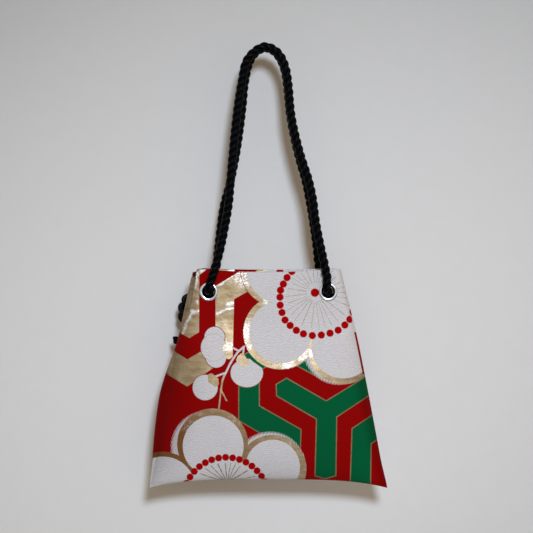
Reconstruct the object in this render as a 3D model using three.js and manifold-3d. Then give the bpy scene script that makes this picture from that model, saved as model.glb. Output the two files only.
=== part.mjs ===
// A trapezoid handbag of woven sash cloth, hung by its rope.
// One rope runs through four eyelets, makes both carrying loops and is knotted behind the left edge.
// Millimetres, +Z up, +X to the right of someone who faces the front, the front faces -Y.
// The origin is the point inside the top of the rope loops where a hook carries them.
import * as THREE from "three";
import { mergeVertices } from "three/addons/utils/BufferGeometryUtils.js";
import Module from "manifold-3d";

const { lerp, clamp, smoothstep } = THREE.MathUtils;

// Outline of the bag, seen from the front
const HANG_DROP = 259; // hook to the mouth edge
const BAG_HEIGHT = 264; // mouth edge to the bottom corners
const LEFT_MARGIN = 21.8; // left eyelets' centres to the left side seam at the mouth
const RIGHT_MARGIN = 15.8; // the same on the right
const BOTTOM_HALF = 141; // middle to a bottom corner
const LEFT_BOW = 10.4; // how far the left seam swells out of a straight line
const LEFT_BOW_FROM = 0.25; // share of the height where it starts to swell
const LEFT_BOW_AT = 0.58; // and where it swells most
const RIGHT_BOW = 2.8; // the same three on the right
const RIGHT_BOW_FROM = 0;
const RIGHT_BOW_AT = 0.35;
const BOW_FADE = 1.6; // how late either swelling fades towards the bottom
const CORNER_FLARE = 1.6; // the bottom corners' reach beyond all that
const FLARE_FROM = 0.86; // share of the height where they start to flare
const BOTTOM_RISE = 10.2; // the bottom seam's middle above its corners
const LEFT_RISE_POWER = 3.8; // how late the bottom seam drops to its left corner
const RIGHT_RISE_POWER = 3.6; // the same on the right
const FRONT_SAG = 5; // dip of the front mouth edge
const BACK_SAG = 2.2; // dip of the back mouth edge
const LEFT_DIP = 5; // dip of the mouth edge at the left side seam
const RIGHT_DIP = 1.8; // the same on the right
const DIP_FROM = 0.88; // where across the half width these dips start

// Depth of the bag, from the seam plane
const MOUTH_DEPTH = 12; // seam plane to either face at the mouth
const FRONT_BELLY = 35; // seam plane to the front at its fullest
const MOUTH_BAND = 56; // height of the flat band that the eyelets sit in
const BELLY_DROP = 165; // mouth edge to the fullest point
const CLOSE_FROM = 0.6; // share of the height where both faces start to draw in
const SEAM_TURN = 9; // width of the strip at a side seam that turns in at the mouth
const FRONT_FLAT = 0.06; // flat share of the front's width at the belly
const BACK_FLAT = 0.5; // flat share of the back's width below the band
const EDGE_POWER = 0.6; // how bluntly a face turns in at a seam
const SEAM_GAP = 0.3; // between the two halves at the seams

// Cloth layers
const PANEL_THICK = 1;
const INTERLINING_THICK = 0.8;
const FACING_THICK = 0.9;
const LINING_THICK = 0.5;
const LAYER_GAP = 0.3; // between neighbouring layers
const FACING_HEIGHT = 44; // band of brocade inside the mouth
const INTERLINING_DROP = 3; // mouth edge to the interlining's upper edge
const COLUMNS = 16; // steps across a sheet
const ROWS = 13; // steps down a sheet

// Rope
const ROPE_DIAMETER = 10;
const ROPE_SIDES = 10;
const ROPE_STEP = 18; // length of one straight step along a handle
const ROPE_GAP = 0.3; // between a rope end and what it meets
const LOOP_GAP = 0.6; // between the two loops on the hook
const LEAN_ROOM = 1; // extra room at an eyelet, because the legs lean towards the hook

// Eyelets
const EYELET_SPACING = 142.4; // centre to centre on one face
const EYELET_DROP = 28.5; // mouth edge to the eyelet centres
const BORE_CLEARANCE = 2; // all round the rope
const BARREL_WALL = 0.6;
const FLANGE_WIDTH = 4.2; // bore to the flange's rim
const FLANGE_HEIGHT = 1.6;
const BARREL_GAP = 0.3; // barrel to cloth and washer
const WASHER_THICK = 0.8;
const WASHER_WIDTH = 2.9;
const CURL_HEIGHT = 0.7; // rolled end of the barrel
const CURL_WIDTH = 1.2;
const ROUND_STEPS = 20; // round an eyelet or the knot
const RIDGE_STEPS = 5; // over a flange or a rolled end

// Knot behind the left edge, a plain lump of the knot's outer shape
const KNOT_LONG = 40; // along its slant
const KNOT_WIDE = 28;
const KNOT_THICK = 26; // front to back
const KNOT_SLANT = 0.47; // radians from upright, upper end to the right
const KNOT_X = -93; // its middle
const KNOT_BELOW_EYELET = 15.5; // eyelet height to its middle
const KNOT_SOCKET = 9; // how far the handle's end stops short of the knot's middle
const TURN_RUN = 6.5; // from there the handle turns up, this far to the right
const TURN_RISE = 3.5; // and this far up
const STRAND_STEPS = 9; // along the strand from the eyelet to the knot
const END_STEPS = 8; // along a cut end

// Values that follow from the ones above
const ropeRadius = ROPE_DIAMETER / 2;
const boreRadius = ropeRadius + BORE_CLEARANCE;
const barrelRadius = boreRadius + BARREL_WALL;
const holeRadius = barrelRadius + BARREL_GAP;
const flangeRadius = boreRadius + FLANGE_WIDTH;
const eyeletX = EYELET_SPACING / 2;
const eyeletZ = -HANG_DROP - EYELET_DROP;
const leftTopHalf = eyeletX + LEFT_MARGIN;
const rightTopHalf = eyeletX + RIGHT_MARGIN;
const faceY = SEAM_GAP / 2 + MOUTH_DEPTH; // outer face of either panel at the mouth
const flangeTop = BARREL_GAP + FLANGE_HEIGHT; // above the panel
const interliningInset = PANEL_THICK + LAYER_GAP;
const liningInset = interliningInset + INTERLINING_THICK + LAYER_GAP;
const stackDepth = liningInset + FACING_THICK; // cloth that an eyelet clamps
const frontPivotY = -(faceY + flangeTop + LEAN_ROOM + ROPE_GAP + ropeRadius);
const backPivotY = faceY + flangeTop + LEAN_ROOM + ROPE_DIAMETER + ROPE_GAP + ropeRadius;
const loopY = ropeRadius + LOOP_GAP / 2;
const facingShare = FACING_HEIGHT / BAG_HEIGHT;
const liningShare = (FACING_HEIGHT + LAYER_GAP) / BAG_HEIGHT;
const knotZ = eyeletZ - KNOT_BELOW_EYELET;

const wasm = await Module();
wasm.setup();

// A closed geometry as a solid that can be joined and cut.
function solidOf(geometry) {
  const bare = geometry.clone();
  bare.deleteAttribute("normal");
  bare.deleteAttribute("uv");
  const merged = mergeVertices(bare, 1e-3);
  return new wasm.Manifold(
    new wasm.Mesh({
      numProp: 3,
      vertProperties: merged.attributes.position.array,
      triVerts: new Uint32Array(merged.index.array),
    }),
  );
}

// A solid back as a geometry.
function geometryOf(solid) {
  const mesh = solid.getMesh();
  const geometry = new THREE.BufferGeometry();
  geometry.setAttribute("position", new THREE.BufferAttribute(mesh.vertProperties, 3));
  geometry.setIndex(new THREE.BufferAttribute(mesh.triVerts, 1));
  geometry.computeVertexNormals();
  return geometry;
}

function material(color, roughness, metalness = 0) {
  return new THREE.MeshStandardMaterial({ color, roughness, metalness });
}

const brocade = material(0x84100c, 0.6);
const backing = material(0xd8d4c8, 0.9);
const lining = material(0x5a1512, 0.8);
const chrome = material(0xd9dadc, 0.15, 1);
const rope = material(0x0b0b0c, 0.5);

// Falls from 1 to 0 between the share "from" and the seam, flat at first and steep at the seam.
function drawIn(share, from) {
  const t = clamp((share - from) / (1 - from), 0, 1);
  return (1 - t * t) ** EDGE_POWER;
}

// How far a side seam swells out of a straight line at share b of the height.
function seamBow(a, b) {
  const bow = a < 0 ? LEFT_BOW : RIGHT_BOW;
  const from = a < 0 ? LEFT_BOW_FROM : RIGHT_BOW_FROM;
  const most = a < 0 ? LEFT_BOW_AT : RIGHT_BOW_AT;
  const fade = clamp((b - most) / (1 - most), 0, 1) ** BOW_FADE;
  return bow * smoothstep(b, from, most) * (1 - fade);
}

// Middle to the side seam at share b of the height.
function seamHalf(a, b) {
  const topHalf = a < 0 ? leftTopHalf : rightTopHalf;
  const flare = CORNER_FLARE * smoothstep(b, FLARE_FROM, 1);
  return lerp(topHalf, BOTTOM_HALF, b) + seamBow(a, b) + flare;
}

// A point of the bag's cloth: side -1 is the front and 1 the back, a runs from seam to seam
// as -1 to 1, b runs down from the mouth as 0 to 1, and inset is the depth below the outer face.
function bagPoint(side, a, b, inset) {
  const across = Math.abs(a);
  const swell = smoothstep(b, MOUTH_BAND / BAG_HEIGHT, BELLY_DROP / BAG_HEIGHT);
  const sag = (side < 0 ? FRONT_SAG : BACK_SAG) * (1 - a * a);
  const dip = a < 0 ? LEFT_DIP : RIGHT_DIP;
  const topZ = -HANG_DROP - sag - dip * smoothstep(across, DIP_FROM, 1);
  const risePower = a < 0 ? LEFT_RISE_POWER : RIGHT_RISE_POWER;
  const lowZ = -HANG_DROP - BAG_HEIGHT + BOTTOM_RISE * (1 - across ** risePower) + inset;
  const belly = side < 0 ? FRONT_BELLY : MOUTH_DEPTH;
  const mouthFlat = 1 - SEAM_TURN / seamHalf(a, b);
  const flat = lerp(mouthFlat, side < 0 ? FRONT_FLAT : BACK_FLAT, swell);
  const depth = (lerp(MOUTH_DEPTH, belly, swell) - inset) * drawIn(b, CLOSE_FROM) * drawIn(across, flat);
  return new THREE.Vector3(
    a * (seamHalf(a, b) - inset),
    side * (SEAM_GAP / 2 + depth),
    lerp(topZ, lowZ, b),
  );
}

// One layer of cloth on one side, from share fromB to share toB of the height.
// Its columns and rows crowd towards the seams, where the cloth turns most.
function clothSheet(side, fromB, toB, inset, thick) {
  const lines = [fromB];
  for (let row = 1; row < ROWS; row++) {
    const b = Math.sin((row / ROWS) * (Math.PI / 2));
    if (b > fromB && b < toB) lines.push(b);
  }
  lines.push(toB);
  const box = new THREE.BoxGeometry(2, lines.length - 1, 1, COLUMNS, lines.length - 1, 1);
  const spots = box.attributes.position;
  const middle = (lines.length - 1) / 2;
  for (let i = 0; i < spots.count; i++) {
    const a = Math.sin(spots.getX(i) * (Math.PI / 2));
    const b = lines[Math.round(middle - spots.getY(i))];
    const outer = spots.getZ(i) > 0 === side < 0;
    const point = bagPoint(side, a, b, outer ? inset : inset + thick);
    spots.setXYZ(i, point.x, point.y, point.z);
  }
  // Both faces split their cells along the same diagonal, so that neighbouring layers stay parallel.
  const rear = box.groups[5];
  const corners = box.index.array;
  for (let i = rear.start; i < rear.start + rear.count; i += 6) {
    const [topLeft, lowLeft, topRight, , lowRight] = corners.slice(i, i + 6);
    corners.set([topLeft, lowLeft, lowRight, topLeft, lowRight, topRight], i);
  }
  return box;
}

// The same sheet with the two holes for its eyelets.
function piercedSheet(side, fromB, toB, inset, thick) {
  const drill = new THREE.CylinderGeometry(holeRadius, holeRadius, 2 * faceY, ROUND_STEPS);
  drill.translate(0, side * faceY, eyeletZ);
  const left = solidOf(drill.clone().translate(-eyeletX, 0, 0));
  const right = solidOf(drill.clone().translate(eyeletX, 0, 0));
  return geometryOf(solidOf(clothSheet(side, fromB, toB, inset, thick)).subtract(left).subtract(right));
}

// A ring turned from a closed half section of [radius, height] points.
function turnedRing(section) {
  const outline = section.map(([radius, height]) => new THREE.Vector2(radius, height));
  return new THREE.LatheGeometry(outline, ROUND_STEPS);
}

// Points over a rounded ridge between two radii, "rise" above "base", from angle "from" to angle "to".
function ridge(innerRadius, outerRadius, base, rise, from, to) {
  const middle = (innerRadius + outerRadius) / 2;
  const arc = new THREE.EllipseCurve(middle, base, (outerRadius - innerRadius) / 2, rise, from, to);
  return arc.getPoints(RIDGE_STEPS).map((point) => [point.x, point.y]);
}

// An eyelet, with heights from the panel's outer face: domed flange, barrel and rolled end.
function eyeletGeometry() {
  const curlTop = -(stackDepth + 2 * BARREL_GAP + WASHER_THICK);
  const curlRadius = barrelRadius + CURL_WIDTH;
  return turnedRing([
    ...ridge(boreRadius, curlRadius, curlTop, CURL_HEIGHT, Math.PI, 2 * Math.PI),
    [barrelRadius, curlTop],
    [barrelRadius, BARREL_GAP],
    ...ridge(boreRadius, flangeRadius, BARREL_GAP, FLANGE_HEIGHT, 0, Math.PI),
    [boreRadius, curlTop],
  ]);
}

// The ring that the barrel is rolled over, below the clamped cloth.
function washerGeometry() {
  const top = -(stackDepth + BARREL_GAP);
  const low = top - WASHER_THICK;
  const inner = barrelRadius + BARREL_GAP;
  const outer = inner + WASHER_WIDTH;
  return turnedRing([[inner, low], [outer, low], [outer, top], [inner, top], [inner, low]]);
}

// A stretch of rope through the given points.
function ropeGeometry(points, steps) {
  const section = new THREE.Shape();
  section.absarc(0, 0, ropeRadius, 0, 2 * Math.PI);
  const route = new THREE.CatmullRomCurve3(points);
  return new THREE.ExtrudeGeometry(section, {
    steps: steps ?? Math.ceil(route.getLength() / ROPE_STEP),
    curveSegments: ROPE_SIDES / 2,
    extrudePath: route,
  });
}

// The round end or elbow of a handle, centred on its hinge axis.
function pivotBall(pivot) {
  const ball = new THREE.SphereGeometry(ropeRadius, ROPE_SIDES, ROPE_SIDES / 2 + 1);
  return solidOf(ball.translate(pivot.x, pivot.y, pivot.z));
}

// The loops' x and z at points chosen along them, from left to right.
const FRONT_LOOP = [
  [-68.4, -275], [-64.2, -262], [-58.2, -240], [-52.7, -214], [-47.6, -184], [-45, -153], [-42.5, -124],
  [-39.8, -96], [-36.4, -66], [-31.6, -36], [-26.6, -13], [-17.4, -1], [-4.8, 5.6], [7.2, 1.6],
  [15.6, -8], [21, -23], [24, -44], [26.6, -74], [31.6, -100], [39, -128], [47.2, -153], [52.4, -176],
  [55.8, -203], [61.4, -232], [67, -258], [69.8, -274],
];
const BACK_LOOP = [
  [-64.8, -273], [-63.4, -258], [-61.8, -240], [-58.8, -216], [-54.2, -184], [-46.4, -155], [-40, -124],
  [-35.6, -96], [-31.4, -62], [-28.8, -36], [-23.6, -13], [-16.6, -1], [-4.8, 5.6], [6.8, 1.6],
  [14.4, -8], [20, -23], [23, -44], [26.2, -74], [31, -100], [37.8, -128], [45, -153], [49.8, -176],
  [54.4, -203], [58.6, -232], [61.6, -258], [66.8, -274],
];

// Loop points in space: each leg leans from its pivot towards the hook.
function loopPoints(loop, pivotY) {
  return loop.map(([x, z]) => {
    const lean = clamp(z / eyeletZ, 0, 1);
    return new THREE.Vector3(x, lerp(Math.sign(pivotY) * loopY, pivotY, lean), z);
  });
}

function frontHandle() {
  const left = new THREE.Vector3(-eyeletX, frontPivotY, eyeletZ);
  const right = new THREE.Vector3(eyeletX, frontPivotY, eyeletZ);
  const tube = solidOf(ropeGeometry([left, ...loopPoints(FRONT_LOOP, frontPivotY), right]));
  return geometryOf(tube.add(pivotBall(left)).add(pivotBall(right)));
}

// The back loop's left end turns onto its hinge axis and runs along it into the knot.
function backHandle() {
  const right = new THREE.Vector3(eyeletX, backPivotY, eyeletZ);
  const end = new THREE.Vector3(KNOT_X + KNOT_SOCKET, backPivotY, eyeletZ);
  const turn = new THREE.Vector3(KNOT_X + KNOT_WIDE / 2 + ropeRadius, backPivotY, eyeletZ);
  const bend = new THREE.Vector3(turn.x + TURN_RUN, backPivotY, eyeletZ + TURN_RISE);
  const loop = loopPoints(BACK_LOOP, backPivotY);
  const run = solidOf(ropeGeometry([end, turn], 1));
  const tube = solidOf(ropeGeometry([turn, bend, ...loop, right]));
  return geometryOf(tube.add(run).add(pivotBall(turn)).add(pivotBall(right)));
}

// A straight stretch of rope through one eyelet, from the seam plane to a handle's round end.
function ropeInside(x, pivotY) {
  const side = Math.sign(pivotY);
  const lean = (Math.abs(pivotY) - loopY) / -eyeletZ; // sideways run of a leg for each mm of height
  const start = side * (SEAM_GAP / 2);
  const end = pivotY - side * (ropeRadius * (1 + lean) + ROPE_GAP);
  return ropeGeometry([new THREE.Vector3(x, start, eyeletZ), new THREE.Vector3(x, end, eyeletZ)], 1);
}

// The knot's lump, grown by "extra" all round.
function knotLump(extra) {
  const lump = new THREE.SphereGeometry(1, ROUND_STEPS, ROUND_STEPS / 2 + 2);
  lump.scale(KNOT_WIDE / 2 + extra, KNOT_LONG / 2 + extra, KNOT_THICK / 2 + extra);
  lump.rotateX(Math.PI / 2);
  lump.rotateY(KNOT_SLANT);
  return solidOf(lump.translate(KNOT_X, backPivotY, knotZ));
}

// The knot with the round socket that the back handle's end turns in.
function knotGeometry() {
  const reach = KNOT_LONG;
  const socketRadius = ropeRadius + ROPE_GAP;
  const drill = new THREE.CylinderGeometry(socketRadius, socketRadius, reach, ROUND_STEPS);
  drill.rotateZ(Math.PI / 2);
  drill.translate(KNOT_X + KNOT_SOCKET - ROPE_GAP + reach / 2, backPivotY, eyeletZ);
  return geometryOf(knotLump(0).subtract(solidOf(drill)));
}

// A rope end or strand that stops at the knot's surface.
function strandAtKnot(points, steps) {
  return geometryOf(solidOf(ropeGeometry(points, steps)).subtract(knotLump(ROPE_GAP)));
}

// The strand's way from the back left eyelet to the knot: across, above the flange and up.
const EYELET_TO_KNOT = [[-1, 2, -1.5], [-5, 5.3, -6], [-10, 6.3, -12]];

// From the seam plane through the back left eyelet and round to the knot.
function leftStrand() {
  const lip = faceY + flangeTop;
  const way = EYELET_TO_KNOT.map(
    ([across, above, up]) => new THREE.Vector3(across - eyeletX, lip + above, eyeletZ + up),
  );
  return strandAtKnot(
    [
      new THREE.Vector3(-eyeletX, SEAM_GAP / 2, eyeletZ),
      new THREE.Vector3(-eyeletX, faceY, eyeletZ),
      ...way,
      new THREE.Vector3(KNOT_X, backPivotY - ropeRadius, knotZ),
    ],
    STRAND_STEPS,
  );
}

// The cut ends' x and z from the knot's middle, from inside it down.
const LONG_END = [[-3, -2], [-1.5, -20], [-4, -33], [-12, -42.5], [-22, -44]];
const SHORT_END = [[5, -2], [10.5, -18], [13, -30], [13.5, -46]];

// A cut end of the rope below the knot: each point hangs a millimetre nearer to the bag.
function ropeEnd(points) {
  const route = points.map(
    ([across, up], i) => new THREE.Vector3(KNOT_X + across, backPivotY - i, knotZ + up),
  );
  return strandAtKnot(route, END_STEPS);
}

const bag = new THREE.Group();

function addPiece(name, geometry, look, parent = bag) {
  const mesh = new THREE.Mesh(geometry, look);
  mesh.name = name;
  parent.add(mesh);
  return mesh;
}

for (const [half, side] of [["front", -1], ["back", 1]]) {
  const stiffTop = INTERLINING_DROP / BAG_HEIGHT;
  addPiece(half + "_panel", piercedSheet(side, 0, 1, 0, PANEL_THICK), brocade);
  addPiece(
    half + "_interlining",
    piercedSheet(side, stiffTop, 1, interliningInset, INTERLINING_THICK),
    backing,
  );
  addPiece(half + "_facing", piercedSheet(side, 0, facingShare, liningInset, FACING_THICK), brocade);
  addPiece(half + "_lining", clothSheet(side, liningShare, 1, liningInset, LINING_THICK), lining);
  for (const [place, x] of [["left", -eyeletX], ["right", eyeletX]]) {
    const seat = new THREE.Group();
    seat.position.set(x, side * faceY, eyeletZ);
    seat.rotation.x = side < 0 ? Math.PI : 0;
    bag.add(seat);
    addPiece("eyelet_" + half + "_" + place, eyeletGeometry(), chrome, seat);
    addPiece("eyelet_washer_" + half + "_" + place, washerGeometry(), chrome, seat);
  }
}

addPiece("front_handle", frontHandle(), rope);
addPiece("back_handle", backHandle(), rope);
addPiece("rope_inside_front_left", ropeInside(-eyeletX, frontPivotY), rope);
addPiece("rope_inside_front_right", ropeInside(eyeletX, frontPivotY), rope);
addPiece("rope_inside_back_right", ropeInside(eyeletX, backPivotY), rope);
addPiece("rope_inside_back_left", leftStrand(), rope);
addPiece("rope_knot", knotGeometry(), rope);
addPiece("rope_end_long", ropeEnd(LONG_END), rope);
addPiece("rope_end_short", ropeEnd(SHORT_END), rope);

export default bag;
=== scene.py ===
import math

import bpy
import numpy as np
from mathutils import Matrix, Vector, noise


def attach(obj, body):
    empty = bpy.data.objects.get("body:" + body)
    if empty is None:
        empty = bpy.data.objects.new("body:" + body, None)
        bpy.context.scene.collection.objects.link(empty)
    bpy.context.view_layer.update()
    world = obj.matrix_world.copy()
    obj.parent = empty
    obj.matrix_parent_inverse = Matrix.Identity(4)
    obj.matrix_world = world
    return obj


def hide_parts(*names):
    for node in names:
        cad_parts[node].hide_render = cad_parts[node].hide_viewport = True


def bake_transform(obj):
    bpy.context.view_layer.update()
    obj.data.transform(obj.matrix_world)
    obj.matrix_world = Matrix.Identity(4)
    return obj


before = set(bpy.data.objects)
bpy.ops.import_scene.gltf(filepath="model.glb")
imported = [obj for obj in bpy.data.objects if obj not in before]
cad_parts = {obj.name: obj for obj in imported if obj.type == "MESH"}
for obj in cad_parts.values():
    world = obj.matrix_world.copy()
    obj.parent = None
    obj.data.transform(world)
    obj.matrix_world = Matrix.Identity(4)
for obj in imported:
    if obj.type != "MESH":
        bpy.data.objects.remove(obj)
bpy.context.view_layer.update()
scene = bpy.context.scene
scene.view_settings.view_transform = "Standard"
mm = 0.001

cameraSetup = {
    "distance": 1.6,  # lens to the bag's seam plane
    "fieldWidth": 0.6396,  # width of the picture at that plane
    "aimX": -0.0024,
    "aimZ": -0.2574,
}


def makeCamera():
    data = bpy.data.cameras.new("camera")
    data.sensor_width = 36
    data.lens = data.sensor_width * cameraSetup["distance"] / cameraSetup["fieldWidth"]
    camera = bpy.data.objects.new("camera", data)
    camera.location = (cameraSetup["aimX"], -cameraSetup["distance"], cameraSetup["aimZ"])
    camera.rotation_euler = (math.pi / 2, 0, 0)
    scene.collection.objects.link(camera)
    scene.camera = camera


# Small helpers for meshes

def addMesh(name, points, faces, material, cornerPlan=None):
    data = bpy.data.meshes.new(name)
    data.from_pydata([tuple(point) for point in points], [], faces)
    if cornerPlan is not None:
        plan = data.uv_layers.new(name="plan")
        plan.data.foreach_set("uv", np.asarray(cornerPlan, np.float32).ravel())
    data.shade_smooth()
    data.materials.append(material)
    piece = bpy.data.objects.new(name, data)
    scene.collection.objects.link(piece)
    return piece


def smoothStep(value, low, high):
    t = np.clip((value - low) / (high - low), 0, 1)
    return t * t * (3 - 2 * t)


def unit(vectors):
    return vectors / np.linalg.norm(vectors, axis=-1, keepdims=True)


# A value in a shader tree. Its sums, differences and products are nodes of the same tree.
class Wire:
    def __init__(self, socket):
        self.socket = socket
        self.tree = socket.id_data

    def __add__(self, other):
        return calc("ADD", self, other)

    def __sub__(self, other):
        return calc("SUBTRACT", self, other)

    def __mul__(self, other):
        return calc("MULTIPLY", self, other)


# Small helpers for shader nodes

def srgb(red, green, blue):
    parts = [value / 255 for value in (red, green, blue)]
    linear = [p / 12.92 if p <= 0.04045 else ((p + 0.055) / 1.055) ** 2.4 for p in parts]
    return (*linear, 1.0)


def newNode(tree, kind, **settings):
    node = tree.nodes.new("ShaderNode" + kind)
    for key, value in settings.items():
        setattr(node, key, value)
    return node


def feed(value, socket):
    if isinstance(value, Wire):
        value.tree.links.new(value.socket, socket)
    else:
        socket.default_value = value


def treeOf(values):
    return next(value.tree for value in values if isinstance(value, Wire))


def calc(operation, *values):
    node = newNode(treeOf(values), "Math", operation=operation)
    for value, socket in zip(values, node.inputs):
        feed(value, socket)
    return Wire(node.outputs[0])


def timesPlus(value, factor, addend):
    return calc("MULTIPLY_ADD", value, factor, addend)


def vectorCalc(operation, *values):
    node = newNode(treeOf(values), "VectorMath", operation=operation)
    for value, socket in zip(values, node.inputs):
        feed(value, socket)
    scalar = operation in ("DOT_PRODUCT", "DISTANCE", "LENGTH")
    return Wire(node.outputs["Value" if scalar else "Vector"])


def stretched(vector, factors):
    return vectorCalc("MULTIPLY", vector, factors)


def scaled(vector, factor):
    node = newNode(vector.tree, "VectorMath", operation="SCALE")
    feed(vector, node.inputs[0])
    feed(factor, node.inputs["Scale"])
    return Wire(node.outputs["Vector"])


def apart(vector):
    node = newNode(vector.tree, "SeparateXYZ")
    feed(vector, node.inputs[0])
    return [Wire(part) for part in node.outputs]


# The largest or the smallest of some values
def reduced(operation, values):
    result = None
    for value in values:
        result = value if result is None else calc(operation, result, value)
    return result


def ramp(value, low, high, outLow=0.0, outHigh=1.0, smooth=False):
    node = newNode(value.tree, "MapRange", interpolation_type="SMOOTHSTEP" if smooth else "LINEAR")
    for item, socket in zip((value, low, high, outLow, outHigh), node.inputs):
        feed(item, socket)
    return Wire(node.outputs[0])


def mixColour(factor, first, second):
    node = newNode(factor.tree, "Mix", data_type="RGBA")
    for value, number in ((factor, 0), (first, 6), (second, 7)):  # its sockets for colours
        feed(value, node.inputs[number])
    return Wire(node.outputs[2])


def noiseNode(vector, scale):
    node = newNode(vector.tree, "TexNoise")
    feed(vector, node.inputs["Vector"])
    node.inputs["Scale"].default_value = scale
    return node


def noiseValue(vector, scale, detail, roughness=0.5):
    node = noiseNode(vector, scale)
    node.inputs["Detail"].default_value = detail
    node.inputs["Roughness"].default_value = roughness
    return Wire(node.outputs["Fac"])


# A spot that wanders by up to about half the reach each way
def strayed(spot, scale, reach):
    chance = Wire(noiseNode(spot, scale).outputs["Color"])
    shift = stretched(vectorCalc("SUBTRACT", chance, (0.5, 0.5, 0.5)), (reach, reach, 0))
    return vectorCalc("ADD", spot, shift)


def newGroup(name, vectors, values, results, colours=()):
    group = bpy.data.node_groups.new(name, "ShaderNodeTree")
    for labels, direction, kind in ((vectors, "INPUT", "Vector"), (values, "INPUT", "Float"),
                                    (colours, "OUTPUT", "Color"), (results, "OUTPUT", "Float")):
        for label in labels:
            group.interface.new_socket(label, in_out=direction, socket_type="NodeSocket" + kind)
    source = group.nodes.new("NodeGroupInput")
    sink = group.nodes.new("NodeGroupOutput")
    return group, {label: Wire(source.outputs[label]) for label in (*vectors, *values)}, sink.inputs


def place(group, **values):
    node = newNode(treeOf(values.values()), "Group", node_tree=group)
    for label, value in values.items():
        feed(value, node.inputs[label])
    return {output.name: Wire(output) for output in node.outputs}


def newMaterial(name, constants):
    material = bpy.data.materials.new(name)
    material.use_nodes = True
    shader = material.node_tree.nodes["Principled BSDF"]
    for label, value in constants.items():
        shader.inputs[label].default_value = value
    return material, material.node_tree, shader.inputs


def planSpot(tree):
    return Wire(newNode(tree, "UVMap", uv_map="plan").outputs[0])


def objectSpot(tree):
    return Wire(newNode(tree, "TexCoord").outputs["Object"])


def bumpNormal(height, distance=mm):
    node = newNode(height.tree, "Bump")
    node.inputs["Distance"].default_value = distance
    feed(height, node.inputs["Height"])
    return Wire(node.outputs["Normal"])


def mixNormal(factor, first, second):
    turned = scaled(vectorCalc("SUBTRACT", second, first), factor)
    return vectorCalc("NORMALIZE", vectorCalc("ADD", first, turned))


# Rope: one length of black rope of three strands, cut into pieces at the eyelets and the knot

ropeCut = {
    "diameter": 0.010,
    "strands": 3,
    "lay": 0.026,  # length of one full turn of a strand
    "helixRadius": 0.0029,
    "strandRadius": 0.00255,
    "tipBulge": 0.35,  # share of a strand's radius by which its cut end stands out
    "sides": 12,
    "step": 0.0013,
    "samples": 40,  # between two points of a route, before it is cut into steps
    "firstSide": (0.31, 0.87, 0.38),  # any direction that no route starts in
    "yarns": 9,  # ridges round one strand
    "yarnLay": 0.012,  # length of one full turn of a yarn
    "yarnHeight": 0.10,
    "fibreHeight": 0.12,
    "tones": (srgb(1, 1, 2), srgb(5, 5, 6)),  # painted shade between the yarns, and the tone on them
}

frontLoop = [
    (-0.0684, -0.275), (-0.0642, -0.262), (-0.0582, -0.24), (-0.0527, -0.214), (-0.0476, -0.184),
    (-0.045, -0.153), (-0.0425, -0.124), (-0.0398, -0.096), (-0.0364, -0.066), (-0.0316, -0.036),
    (-0.0266, -0.013), (-0.0174, -0.001), (-0.0048, 0.0056), (0.0072, 0.0016), (0.0156, -0.008),
    (0.021, -0.023), (0.024, -0.044), (0.0266, -0.074), (0.0316, -0.1), (0.039, -0.128),
    (0.0472, -0.153), (0.0524, -0.176), (0.0558, -0.203), (0.0614, -0.232), (0.067, -0.258),
    (0.0698, -0.274),
]
backLoop = [
    (-0.0648, -0.273), (-0.0634, -0.258), (-0.0618, -0.24), (-0.0588, -0.216), (-0.0542, -0.184),
    (-0.0464, -0.155), (-0.04, -0.124), (-0.0356, -0.096), (-0.0314, -0.062), (-0.0288, -0.036),
    (-0.0236, -0.013), (-0.0166, -0.001), (-0.0048, 0.0056), (0.0068, 0.0016), (0.0144, -0.008),
    (0.02, -0.023), (0.023, -0.044), (0.0262, -0.074), (0.031, -0.1), (0.0378, -0.128),
    (0.045, -0.153), (0.0498, -0.176), (0.0544, -0.203), (0.0586, -0.232), (0.0616, -0.258),
    (0.0668, -0.274),
]
eyeletX = 0.0712
eyeletZ = -0.2875
frontPivotY = -0.02035
backPivotY = 0.03035
loopY = 0.0053  # half the space between the loops on the hook
cutY = 0.010  # where the rope is cut inside an eyelet
insideSag = 0.0045  # how far the rope hangs through between two eyelets
holeLean = {
    "left": [(0.0, 0.0), (0.0003, -0.0015)],  # x and z from the middle of the front and of the back hole
    "right": [(-0.0014, 0.0), (0.0013, 0.0)],
}


def ropeMaterial():
    material, tree, shader = newMaterial("rope_black", {"Specular IOR Level": 0.05})
    plan = planSpot(tree)
    along, around, _ = apart(plan)
    phase = along * (mm / ropeCut["yarnLay"]) + around * ropeCut["yarns"]
    yarns = calc("SINE", phase * (2 * math.pi))
    fibres = noiseValue(plan, 3.0, 3.0)
    height = yarns * ropeCut["yarnHeight"] + fibres * ropeCut["fibreHeight"]
    # painted shade: darker in the grooves between the yarns
    feed(mixColour(ramp(yarns, -1.0, 1.0), *ropeCut["tones"]), shader["Base Color"])
    feed(ramp(fibres, 0.3, 0.7, 0.34, 0.5), shader["Roughness"])
    feed(bumpNormal(height), shader["Normal"])
    return material


def between(t, low, high, first, second):
    return ((high - t) * first + (t - low) * second) / (high - low)


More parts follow.
